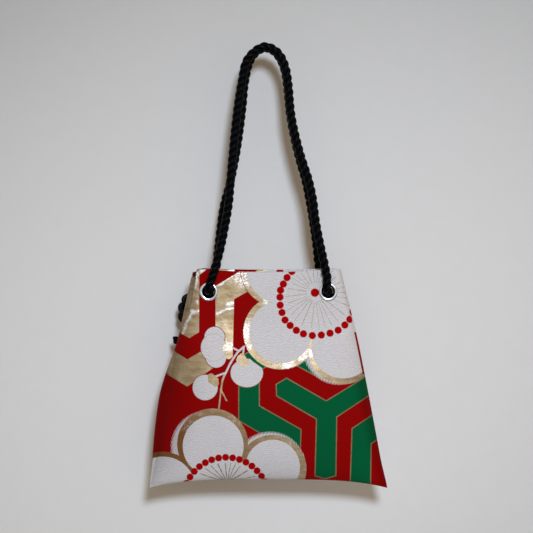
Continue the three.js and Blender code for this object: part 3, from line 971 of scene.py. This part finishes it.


# Crumpled metal thread: bumps along its creases, and painted highlights where the foil catches the light, on
# the creases, in given places and at random
def foilGroup(stalk):
    results = ("Crumple", "Fold", "Ground", "Glint", "Streak")
    group, given, out = newGroup("foil", ("Spot",), (), results)
    spot = given["Spot"]
    wide = noiseValue(stretched(spot, (1.0, 0.7, 1.0)), 0.05, 3.0, 0.6)
    grain = noiseValue(stretched(spot, (0.85, 1.2, 1.0)), 0.6, 2.0, 0.6)
    sparkle = ramp(grain, *glints["sparkle"])
    loose = strayed(spot, *glints["stray"])
    start, full = glints["zoneEdge"]
    bright = reduced("MAXIMUM", (
        ramp(vectorCalc("DISTANCE", loose, (x, y, 1)), start * radius, full * radius, smooth=True)
        for x, y, radius in glints["zones"]))
    bright = bright * timesPlus(sparkle, *glints["zoneShine"])
    folds = reduced("MAXIMUM", (
        ramp(stalkDistance(stalk, loose, *crease), *glints["creaseEdge"], smooth=True)
        for crease in glints["creases"]))
    # painted highlight: silver glints at random places on the gold
    slubAndGlint = ramp(wide, *glints["slubAndGlint"]) * (sparkle * glints["randomGlintShine"])
    shine = folds * timesPlus(sparkle, *glints["creaseShine"])
    feed(reduced("MAXIMUM", (bright, shine, slubAndGlint)), out["Glint"])
    foldHeight, wideHeight, grainHeight = glints["heights"]
    creased = folds * foldHeight + wide * wideHeight
    feed(timesPlus(grain, grainHeight, creased), out["Crumple"])
    beyond = []
    for x1, y1, x2, y2 in glints["leftFold"]:
        normal = np.array((y2 - y1, x1 - x2)) / math.hypot(x2 - x1, y2 - y1)
        beyond.append(beyondLine(loose, normal, (x1, y1)))
    bent = calc("MAXIMUM", nearest(beyond), 0.0) * -glints["foldSlope"]
    height = vectorCalc("DOT_PRODUCT", spot, (0, 1, 0))
    lowered = ramp(height, *glints["leftTurn"])
    goldLowered = ramp(height, *glints["leftTurn"], glints["goldTurn"])
    ground = bent
    for across, down, start, band, slope in glints["edgeTurns"]:
        inside = vectorCalc("DOT_PRODUCT", spot, (across, down, start))
        turned = ramp(inside, 0.0, band, band, 0.0)
        fall = calc("POWER", turned, 2.0) * (-slope / (2 * band))
        atLeft = across > 0
        bent = bent + (fall * goldLowered if atLeft else fall)
        ground = ground + (fall * lowered if atLeft else fall)
    feed(bent, out["Fold"])
    feed(ground, out["Ground"])
    streak = noiseValue(stretched(spot, (0.5, 1.6, 1.0)), 0.12, 4.0, 0.65)
    feed(ramp(streak, 0.35, 0.65), out["Streak"])
    return group


# Colour of the pattern, and its shares of metal thread and of white thread
def patternGroup(stalk):
    stamenLines = stamenGroup()
    shine = ("Glint", "Streak")
    group, given, out = newGroup("brocadePattern", ("Spot",), shine, ("Gold", "White"), ("Colour",))
    spot = given["Spot"]
    layered = [thread["red"]]

    def lay(mask, tone):
        layered.append(mixColour(mask, layered[-1], thread.get(tone, tone)))

    def layStalks(stalks, tone):
        for line in stalks:
            lay(maskOf(stalkDistance(stalk, spot, *line)), tone)

    def layBlossom(blossom):
        fringe = nearestDisc(spot, blossom["fringes"])
        cover = ramp(fringe, 0.0, -threadWork["hatchDepth"], 0.1, 0.95)
        hatched = ramp(cover - hatch, -0.2, 0.2)
        lay(maskOf(fringe) * hatched, "white")
        lay(maskOf(nearestDisc(spot, blossom["rings"])), "gold")
        lay(maskOf(nearestDisc(spot, [*blossom["white"], blossom["heart"]])), "white")
        x, y, inner, gap, count = blossom["stamens"]
        reach = calc("SUBTRACT", -gap, discDistance(spot, *blossom["heart"]))
        lines = place(stamenLines, Spot=spot, Middle=(x, y, 1), Inner=inner, Reach=reach, Count=count,
                      Width=blossom["stamenWidth"], Spread=blossom["stamenSpread"])
        lay(lines["Mask"], blossom["stamenTone"])
        dots = [(x, y, blossom["dotRadius"]) for x, y in blossom["dots"]]
        lay(maskOf(nearestDisc(spot, [*dots, *blossom["middleDots"]])), "dotRed")

    x, y, _ = apart(spot)
    slope = x + y * threadWork["hatchSlope"]
    hatch = timesPlus(calc("SINE", slope * (2 * math.pi / threadWork["hatchPitch"])), 0.5, 0.5)
    lay(maskOf(nearestOutline(spot, lattice["gold"])), "gold")
    ringX, ringY, radius = upperBlossom["rings"][0]
    lay(maskOf(discDistance(spot, ringX, ringY, radius + threadWork["redLine"])), "red")
    figures = nearestOutline(spot, lattice["green"])
    lay(maskOf(figures - lattice["outline"]), "edging")
    lay(maskOf(figures + lattice["outline"]), "green")
    layBlossom(upperBlossom)
    layStalks(sprig["stalks"], "white")
    layStalks(sprig["goldStalks"], "gold")
    lobes, buds = (nearest([ovalDistance(spot, *oval) for oval in sprig[key]]) for key in ("lobes", "buds"))
    lay(maskOf(calc("MINIMUM", lobes, buds) - threadWork["redLine"]), "red")
    lay(maskOf(lobes), "white")
    lay(maskOf(buds - threadWork["rimWidth"]), "rim")
    lay(maskOf(buds), "white")
    layStalks(sprig["greenBand"], "green")
    lay(maskOf(nearestDisc(spot, sprig["calyxes"])), "gold")
    layBlossom(lowerBlossom)
    lay(maskOf(outlineDistance(spot, lattice["seamRed"])), "red")
    shares = newNode(group, "SeparateColor")
    feed(layered[-1], shares.inputs[0])
    red, green, blue = (Wire(share) for share in shares.outputs)
    gold = ramp(calc("MINIMUM", red, green) - blue, 0.02, 0.09)
    metal = mixColour(given["Streak"], thread["brown"], thread["gold"])
    lowLeft = ramp(x, *threadWork["deepAcross"]) * ramp(y, *threadWork["deepDown"])
    metal = mixColour(lowLeft, metal, thread["deep"])
    # painted highlights: the gold turns silver where the foil catches the light
    metal = mixColour(given["Glint"], metal, thread["paintedGlint"])
    feed(mixColour(gold, layered[-1], metal), out["Colour"])
    feed(gold, out["Gold"])
    feed(ramp(blue, 0.25, 0.45), out["White"])
    return group


clothLook = {
    "ribs": 0.09,  # heights of the threads, in millimetres
    "zigzag": 0.2,
    "crumple": 0.55,
    "plainRibs": 0.07,
    "plainDark": 0.72,  # tone of a plain cloth's thin threads
    "slub": (0.24, 0.88),  # uneven threads change the tone by this, from this
    "lines": (0.85, 1.09),  # painted shade between the zigzag threads, and the tone on them
    "metal": 0.45,
    "roughness": (0.66, 0.48),  # of silk and of metal thread
    "stray": (0.5, 0.6),  # outlines wander: how densely, and how far
}


def brocadeMaterial(name, weave, foil, pattern, seamShade=None, edgeShade=None):
    material, tree, shader = newMaterial(name, {
        "Specular IOR Level": 0.012, "Specular Tint": (0.62, 0.52, 0.42, 1), "Sheen Weight": 0.01})
    flat = vectorCalc("ADD", planSpot(tree), (0, 0, 1))
    spot = strayed(flat, *clothLook["stray"])
    threads = place(weave, Spot=flat)
    metal = place(foil, Spot=flat)
    design = place(pattern, Spot=spot, Glint=metal["Glint"], Streak=metal["Streak"])
    slubAndGlint = timesPlus(threads["Slub"], *clothLook["slub"])
    # painted shade: the white thread is darker between the zigzag threads
    depth = slubAndGlint * ramp((threads["Zigzag"] - 0.5) * design["White"], -0.5, 0.5, *clothLook["lines"])
    if seamShade:
        aside = calc("ABSOLUTE", apart(flat)[0])
        depth = depth * ramp(aside, seamShade["from"], seamShade["to"], 1.0, seamShade["share"])
    # painted shade along the side seams of the coloured ground; white thread is left out
    if edgeShade:
        inside = nearest([vectorCalc("DOT_PRODUCT", flat, line) for line in edgeShade["lines"]])
        edgeDark = ramp(inside, edgeShade["from"], edgeShade["to"], 1 - edgeShade["share"], 0.0)
        edgeDark = edgeDark * ramp(vectorCalc("DOT_PRODUCT", flat, (0, 1, 0)), *edgeShade["top"])
        edgeDark = edgeDark * calc("SUBTRACT", 1.0, design["White"])
        depth = depth * calc("SUBTRACT", 1.0, edgeDark)
    feed(scaled(design["Colour"], depth), shader["Base Color"])
    feed(design["Gold"] * clothLook["metal"], shader["Metallic"])
    feed(ramp(design["Gold"], 0.0, 1.0, *clothLook["roughness"]), shader["Roughness"])
    ribbed = bumpNormal(timesPlus(threads["Ribs"], clothLook["ribs"], metal["Ground"]))
    zigzag = bumpNormal(timesPlus(threads["Zigzag"], clothLook["zigzag"], metal["Fold"]))
    crumpled = bumpNormal(timesPlus(metal["Crumple"], clothLook["crumple"], metal["Fold"]))
    woven = mixNormal(design["White"], ribbed, zigzag)
    feed(mixNormal(design["Gold"], woven, crumpled), shader["Normal"])
    return material


def plainCloth(name, tone, weave, roughness):
    material, tree, shader = newMaterial(name, {"Roughness": roughness, "Sheen Weight": 0.1})
    threads = place(weave, Spot=planSpot(tree))
    dark = tuple(clothLook["plainDark"] * value for value in tone[:3]) + (1.0,)
    feed(mixColour(threads["Slub"], dark, tone), shader["Base Color"])
    feed(bumpNormal(threads["Ribs"] * clothLook["plainRibs"]), shader["Normal"])
    return material


# Eyelets: domed flange, barrel and rolled end, with the ring that it is rolled over

eyelet = {
    "faceY": 0.01215,  # outer face of either panel at the mouth
    "bore": 0.007,
    "boreShade": 0.02,  # painted shade: the barrel is darkened as if in shade inside the bag
    "boreShadeReach": 0.0017,  # how far round the bore this reaches on the rolled end
    "rolledEnd": (0.0037, 0.0031),  # the rolled end starts between these depths
    "boreShadeSoft": 0.0003,
    "tones": (srgb(196, 198, 202), srgb(236, 237, 240)),
    "barrel": 0.0076,
    "flange": 0.0112,
    "flangeBase": 0.0003,
    "flangeRise": 0.0016,
    "curl": 0.0088,
    "curlBase": -0.0047,
    "curlRise": 0.0007,
    "washer": (0.0079, 0.0108, -0.0044, -0.0036),  # inner and outer radius, low and high face
    "washerRound": 0.0002,
    "steps": 72,
    "curlSteps": 14,
    "flangeSteps": 22,
}


def chromeMaterial():
    material, tree, shader = newMaterial("chrome", {"Metallic": 1.0})
    spot = objectSpot(tree)
    smear = noiseValue(spot, 420.0, 4.0, 0.6)
    polished = mixColour(smear, *eyelet["tones"])
    x, y, z = apart(spot)
    aside = calc("ABSOLUTE", x) - eyeletX
    above = z - eyeletZ
    fromMiddle = calc("SQRT", timesPlus(aside, aside, above * above))
    # painted shade on the bore and the inner part of the rolled end, inside the bag
    deep, shallow = (eyelet["faceY"] - depth for depth in eyelet["rolledEnd"])
    black = ramp(calc("ABSOLUTE", y), deep, shallow, eyelet["bore"] + eyelet["boreShadeReach"], eyelet["bore"])
    unshaded = ramp(fromMiddle - black, 0.0, eyelet["boreShadeSoft"], eyelet["boreShade"], 1.0)
    feed(scaled(polished, unshaded), shader["Base Color"])
    feed(ramp(smear, 0.3, 0.7, 0.16, 0.28), shader["Roughness"])
    feed(bumpNormal(noiseValue(spot, 900.0, 2.0), 0.00003), shader["Normal"])
    return material


# Half a round from the bore to the rim of the flange or of the curl
def ridge(part, start, end):
    middle = (eyelet["bore"] + eyelet[part]) / 2
    half = (eyelet[part] - eyelet["bore"]) / 2
    base, rise = eyelet[part + "Base"], eyelet[part + "Rise"]
    angles = np.linspace(start, end, eyelet[part + "Steps"])
    return [(middle + half * math.cos(t), base + rise * math.sin(t)) for t in angles]


def turnedRing(name, section, x, side, material):
    count = len(section)
    points, faces = [], []
    for i in range(eyelet["steps"]):
        angle = 2 * math.pi * i / eyelet["steps"]
        here, ahead = i * count, (i + 1) % eyelet["steps"] * count
        for k, (radius, height) in enumerate(section):
            y = side * (eyelet["faceY"] + height)
            points.append((x + radius * math.cos(angle), y, eyeletZ + radius * math.sin(angle)))
            after = (k + 1) % count
            faces.append((here + k, here + after, ahead + after, ahead + k)[::side])
    return addMesh(name, points, faces, material)


def makeEyelets(material):
    section = [
        *ridge("curl", math.pi, 2 * math.pi),
        (eyelet["barrel"], eyelet["curlBase"]),
        (eyelet["barrel"], eyelet["flangeBase"]),
        *ridge("flange", 0, math.pi),
        (eyelet["bore"], eyelet["curlBase"] / 2),
    ]
    inner, outer, low, high = eyelet["washer"]
    r = eyelet["washerRound"]
    ring = [(inner + r, low), (outer - r, low), (outer, low + r), (outer, high - r), (outer - r, high),
            (inner + r, high), (inner, high - r), (inner, low + r)]
    for half, side in (("front", -1), ("back", 1)):
        for edge, x in (("left", -eyeletX), ("right", eyeletX)):
            for kind, outline in (("eyelet_", section), ("eyelet_washer_", ring)):
                node = kind + half + "_" + edge
                piece = turnedRing("metal_" + node, outline, x, side, material)
                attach(piece, half + "_half")
                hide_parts(node)
    print("eyelets done")


# Stage: a pale wall close behind the bag, seen from its front only, and soft light from the upper right

stage = {
    "wallY": 0.066,  # where the wall starts to bend into the floor
    "wallLean": 0.027,  # how far it comes forward for each metre up
    "wallTop": 1.3,
    "floorZ": -1.0,
    "bend": 0.25,  # radius of the curve from wall to floor
    "bendSteps": 12,
    "halfWidth": 2.2,
    "floorReach": 2.6,
    "wallColour": srgb(214, 212, 209),
    "wallPaintedLight": (0.7586, 0.0448, -1.0519, -0.6929, -1.104, 0.2019),  # painted light: how the room's light falls across wall and floor; level, shares of x, z, xx, zz and xz
    "wallLeast": 0.5,
    "lampAim": (0, 0, -0.3),
    "keyAt": (0.32, -2.2, 0.56),
    "keySize": 0.44,
    "keyPower": 42,
    "keyColour": (0.85, 0.99, 1.18),
    "rearAt": (-0.5, 1.9, 0.4),
    "rearSize": 1.2,
    "rearPower": 16,
    "ambientColour": (1.28, 0.97, 0.61),
    "ambient": 0.36,
    "ambientLeast": 0.02,
    "ambientLean": (0.6, 0.0, -0.2),  # the room is brighter towards this side
    "seen": 0.62,  # brightness of the room behind the bag and in its reflections
}


def wallMaterial():
    material, tree, shader = newMaterial("wall", {"Roughness": 0.9, "Specular IOR Level": 0.1})
    spot = objectSpot(tree)
    # painted light: the tone follows how the room's light falls across the wall and floor
    level, rightward, upward, right2, up2, rightUp = stage["wallPaintedLight"]
    square = stretched(spot, spot)
    x, _, z = apart(spot)
    slant = vectorCalc("DOT_PRODUCT", spot, (rightward, 0, upward))
    curve = vectorCalc("DOT_PRODUCT", square, (right2, 0, up2))
    twist = x * z * rightUp
    grain = noiseValue(spot, 60.0, 3.0)
    tone = calc("MAXIMUM", slant + level + (curve + twist), stage["wallLeast"])
    tone = tone * ramp(grain, 0.2, 0.8, 0.99, 1.01)
    feed(mixColour(tone, (0, 0, 0, 1), stage["wallColour"]), shader["Base Color"])
    clear = newNode(tree, "BsdfTransparent")
    behind = Wire(newNode(tree, "NewGeometry").outputs["Backfacing"])
    shadow = Wire(newNode(tree, "LightPath").outputs["Is Shadow Ray"])
    choice = newNode(tree, "MixShader")
    feed(calc("MAXIMUM", behind, shadow), choice.inputs[0])
    tree.links.new(tree.nodes["Principled BSDF"].outputs[0], choice.inputs[1])
    tree.links.new(clear.outputs[0], choice.inputs[2])
    tree.links.new(choice.outputs[0], tree.nodes["Material Output"].inputs["Surface"])
    return material


def makeStage():
    room = stage
    bendZ = room["floorZ"] + room["bend"]
    topY = room["wallY"] - room["wallLean"] * (room["wallTop"] - bendZ)
    profile = [(topY, room["wallTop"]), (room["wallY"], bendZ)]
    for i in range(1, room["bendSteps"] + 1):
        t = math.pi / 2 * i / room["bendSteps"]
        back, up = room["bend"] * (1 - math.cos(t)), room["bend"] * (1 - math.sin(t))
        profile.append((room["wallY"] - back, room["floorZ"] + up))
    profile.append((room["wallY"] - room["floorReach"], room["floorZ"]))
    points = [(x, y, z) for y, z in profile for x in (-room["halfWidth"], room["halfWidth"])]
    faces = [(2 * i, 2 * i + 2, 2 * i + 3, 2 * i + 1) for i in range(len(profile) - 1)]
    addMesh("backdrop", points, faces, wallMaterial())


def addLamp(name, spot, size, power, colour=(1, 1, 1)):
    data = bpy.data.lights.new(name, "AREA")
    data.shape = "DISK"
    data.size = size
    data.energy = power
    data.color = colour
    lamp = bpy.data.objects.new(name, data)
    lamp.location = spot
    lamp.rotation_euler = (Vector(stage["lampAim"]) - Vector(spot)).to_track_quat("-Z", "Y").to_euler()
    scene.collection.objects.link(lamp)


def makeLight():
    addLamp("key", stage["keyAt"], stage["keySize"], stage["keyPower"], stage["keyColour"])
    addLamp("rear", stage["rearAt"], stage["rearSize"], stage["rearPower"])
    world = bpy.data.worlds.new("room")
    scene.world = world
    world.use_nodes = True
    tree = world.node_tree
    sky = tree.nodes["Background"].inputs
    path = newNode(tree, "LightPath").outputs
    glossy, through = Wire(path["Is Glossy Ray"]), Wire(path["Is Transmission Ray"])
    seen = calc("MAXIMUM", Wire(path["Is Camera Ray"]), calc("MAXIMUM", glossy, through))
    heading = Wire(newNode(tree, "TexCoord").outputs["Generated"])
    fromRight = vectorCalc("DOT_PRODUCT", heading, stage["ambientLean"])
    soft = calc("MAXIMUM", timesPlus(fromRight, stage["ambient"], stage["ambient"]), stage["ambientLeast"])
    feed(ramp(seen, 0.0, 1.0, soft, stage["seen"]), sky["Strength"])
    feed(mixColour(seen, (*stage["ambientColour"], 1), (1, 1, 1, 1)), sky["Color"])
    print("stage done")


makeCamera()
rope = ropeMaterial()
makeFrontRope(rope)
makeBackRope(rope)
makeInsideRopes(rope)
makeKnot(rope)
print("ropes done")
stalk = stalkGroup()
brocade = (weaveGroup(), foilGroup(stalk), patternGroup(stalk))
weave = brocade[0]
makeCloth({
    "panel": (brocadeMaterial("brocade_outside", *brocade, edgeShade=paintedSeamShade), "brocade"),
    "facing": (brocadeMaterial("brocade_inside", *brocade, seamShade=facingShade), "brocade"),
    "interlining": (plainCloth("interlining_white", srgb(214, 208, 196), weave, 0.9), "interlining"),
    "lining": (plainCloth("lining_red", srgb(104, 26, 22), weave, 0.75), "lining"),
})
makeEyelets(chromeMaterial())
makeStage()
makeLight()
